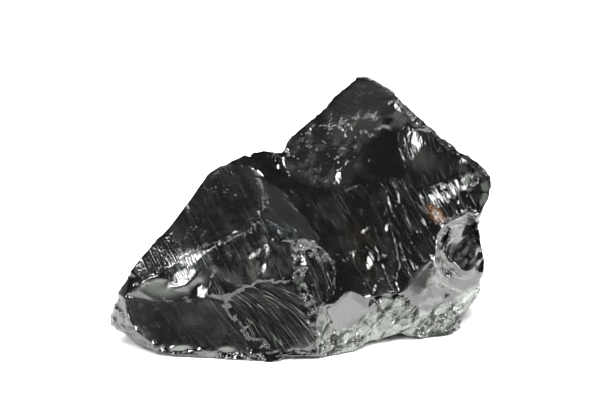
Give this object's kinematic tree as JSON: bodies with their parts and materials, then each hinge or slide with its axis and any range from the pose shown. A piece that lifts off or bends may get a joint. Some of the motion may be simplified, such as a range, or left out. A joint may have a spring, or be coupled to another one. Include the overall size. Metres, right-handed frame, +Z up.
{
  "type": "coal lump",
  "caption": "Hand-sized lump of anthracite coal with flat faces, conchoidal hollows, stepped ridges and crumbled edges, resting on a flat underside.",
  "frame": {"origin": "on the resting surface, under the middle of the lump's box", "axes": "+Z up, -Y to the front, +X to the right along the lump's longest extent"},
  "size_m": [0.0978, 0.062, 0.0625],
  "materials": {
    "anthracite": "jet black with a glassy lustre"
  },
  "bodies": {
    "root": {"coal_lump": "anthracite"}
  },
  "joints": []
}
